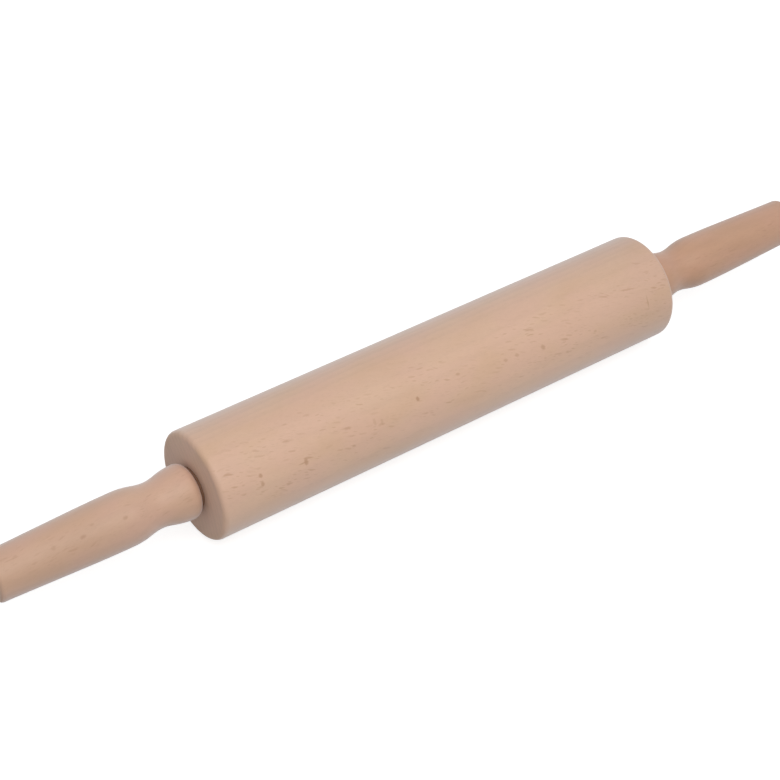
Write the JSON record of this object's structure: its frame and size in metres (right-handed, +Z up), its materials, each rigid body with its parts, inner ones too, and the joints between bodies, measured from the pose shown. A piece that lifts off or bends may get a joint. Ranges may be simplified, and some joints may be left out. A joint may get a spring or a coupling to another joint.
{
  "type": "rolling pin",
  "caption": "Turned beech rolling pin: a plain round-edged barrel fixed on a steel axle rod, with a waisted, tapering handle that turns freely on each end of the rod.",
  "frame": {"origin": "on the table, at the line of contact under the middle of the barrel", "axes": "+X along the axle towards the right handle, +Z up, +Y away from the pictured side"},
  "size_m": [0.4404, 0.05, 0.05],
  "materials": {
    "barrel_wood": "pale pinkish beech, fine sanded, matte",
    "handle_wood": "pale pinkish beech, fine sanded, matte",
    "plug_wood": "beech end grain, sanded flush",
    "rod_steel": "drawn bright steel",
    "zinc_steel": "zinc plated",
    "nylon": "natural nylon",
    "washer_fibre": "brown vulcanised fibre"
  },
  "bodies": {
    "barrel": {"barrel": "barrel_wood", "axle_rod": "rod_steel", "left_thrust_washer": "washer_fibre", "left_end_washer": "zinc_steel", "left_lock_nut": "zinc_steel", "right_thrust_washer": "washer_fibre", "right_end_washer": "zinc_steel", "right_lock_nut": "zinc_steel"},
    "left_handle": {"left_handle": "handle_wood", "left_inner_bush": "nylon", "left_outer_bush": "nylon", "left_end_plug": "plug_wood"},
    "right_handle": {"right_handle": "handle_wood", "right_inner_bush": "nylon", "right_outer_bush": "nylon", "right_end_plug": "plug_wood"}
  },
  "joints": [
    {"name": "left_handle_spin", "type": "hinge", "parent": "barrel", "child": "left_handle", "pos_m": [-0.1262, 0, 0.025], "axis": [1, 0, 0], "continuous": true},
    {"name": "right_handle_spin", "type": "hinge", "parent": "barrel", "child": "right_handle", "pos_m": [0.1262, 0, 0.025], "axis": [1, 0, 0], "continuous": true}
  ]
}
